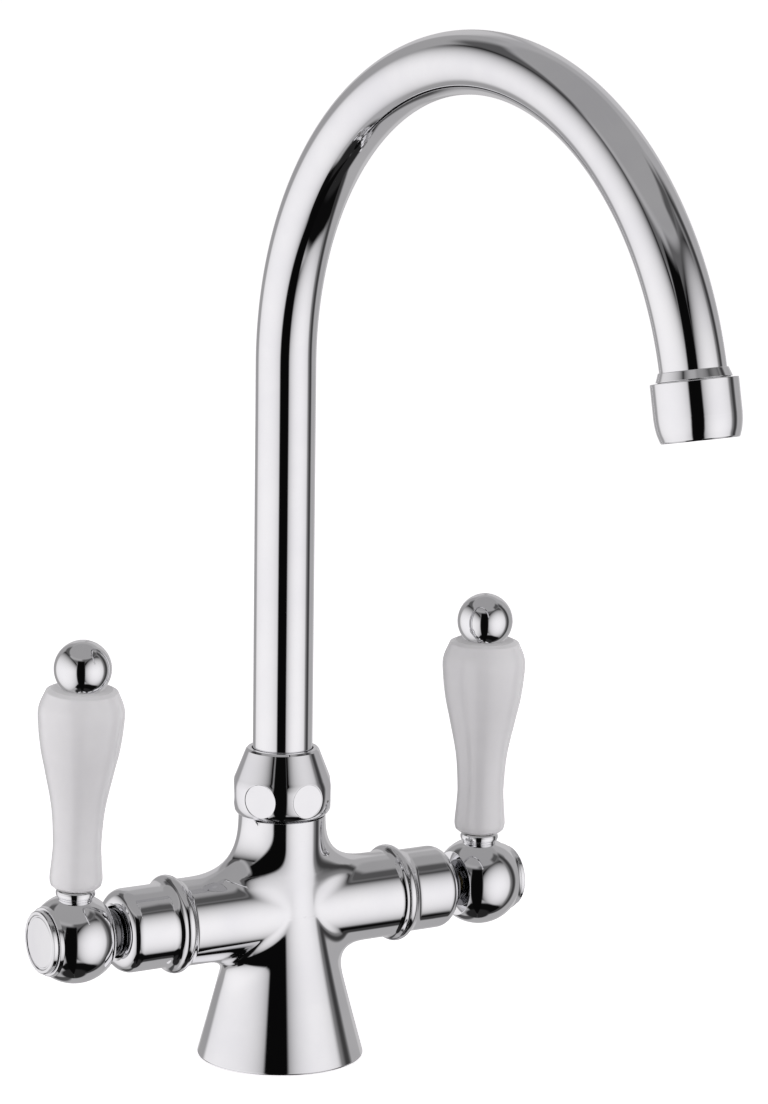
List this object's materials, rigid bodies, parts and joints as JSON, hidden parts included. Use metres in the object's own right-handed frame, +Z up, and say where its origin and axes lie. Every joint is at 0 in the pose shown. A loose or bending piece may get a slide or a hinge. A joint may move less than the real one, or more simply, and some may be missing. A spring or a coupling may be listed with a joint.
{
  "type": "two handle kitchen faucet",
  "caption": "Deck-mounted mixer faucet in chrome: conical foot, side arms with upright ceramic lever handles, a faceted nut and a tall swan-neck spout that swivels.",
  "frame": {"origin": "centre of the base on the worktop", "axes": "+Z up out of the worktop, +X along the right-hand arm, -Y towards the user, the way the spout reaches"},
  "size_m": [0.2042, 0.2785, 0.3875],
  "materials": {
    "chrome_plate": "polished",
    "brass_parts": "satin",
    "steel_parts": "satin",
    "glazed_handle": "gloss",
    "valve_ceramic": "satin",
    "black_rubber": "matte",
    "white_nylon": "satin"
  },
  "bodies": {
    "mixer": {"mixer_body": "chrome_plate", "base_gasket": "black_rubber", "spout_nut": "chrome_plate", "spout_bearing_ring": "white_nylon", "right_valve_housing": "brass_parts", "right_valve_seal": "black_rubber", "right_fixed_disc": "valve_ceramic", "right_shroud": "chrome_plate", "left_valve_housing": "brass_parts", "left_valve_seal": "black_rubber", "left_fixed_disc": "valve_ceramic", "left_shroud": "chrome_plate"},
    "spout": {"spout_tube": "chrome_plate", "spout_bush": "brass_parts", "spout_seal_lower": "black_rubber", "spout_seal_upper": "black_rubber", "spout_ferrule": "chrome_plate", "aerator_housing": "chrome_plate", "aerator_washer": "black_rubber", "aerator_insert": "white_nylon"},
    "right_lever": {"right_moving_disc": "valve_ceramic", "right_spindle": "brass_parts", "right_spindle_seal": "black_rubber", "right_spindle_clip": "steel_parts", "right_lever_hub": "chrome_plate", "right_hub_screw": "steel_parts", "right_index_cap": "chrome_plate", "right_lever_rod": "brass_parts", "right_lever_base_ring": "chrome_plate", "right_lever_washer": "white_nylon", "right_ceramic_lever": "glazed_handle", "right_lever_finial": "chrome_plate"},
    "left_lever": {"left_moving_disc": "valve_ceramic", "left_spindle": "brass_parts", "left_spindle_seal": "black_rubber", "left_spindle_clip": "steel_parts", "left_lever_hub": "chrome_plate", "left_hub_screw": "steel_parts", "left_index_cap": "chrome_plate", "left_lever_rod": "brass_parts", "left_lever_base_ring": "chrome_plate", "left_lever_washer": "white_nylon", "left_ceramic_lever": "glazed_handle", "left_lever_finial": "chrome_plate"}
  },
  "joints": [
    {"name": "spout_swivel", "type": "hinge", "parent": "mixer", "child": "spout", "pos_m": [0, 0, 0.1], "axis": [0, 0, 1], "continuous": true},
    {"name": "right_lever_turn", "type": "hinge", "parent": "mixer", "child": "right_lever", "pos_m": [0.0865, 0, 0.0556], "axis": [1, 0, 0], "range_deg": [0, 90]},
    {"name": "left_lever_turn", "type": "hinge", "parent": "mixer", "child": "left_lever", "pos_m": [-0.0865, 0, 0.0556], "axis": [1, 0, 0], "range_deg": [0, 90]}
  ]
}
